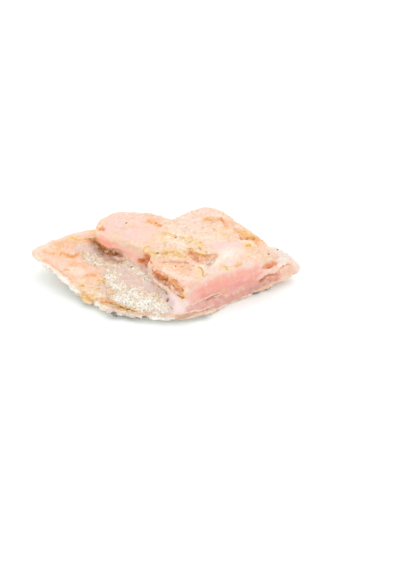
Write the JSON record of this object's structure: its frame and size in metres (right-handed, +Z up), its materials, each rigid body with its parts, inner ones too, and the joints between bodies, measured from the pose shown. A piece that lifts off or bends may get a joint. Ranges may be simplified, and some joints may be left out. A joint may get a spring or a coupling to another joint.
{
  "type": "rough pink opal",
  "caption": "Broken piece of rough pink opal, a flat-based stone with a sloping wing, stepped blocks and torn ledges, for display or study.",
  "frame": {"origin": "on the flat resting face, under the centre of the stone's bounding box", "axes": "+Z up, +X along the stone's length towards the end under the tall blocks, -Y towards the side with the torn front"},
  "size_m": [0.0708, 0.033, 0.0168],
  "materials": {
    "opal": "waxy to dull natural break, pink to salmon, with orange stains, cream crystals and grey matrix"
  },
  "bodies": {
    "root": {"rough_opal": "opal"}
  },
  "joints": []
}
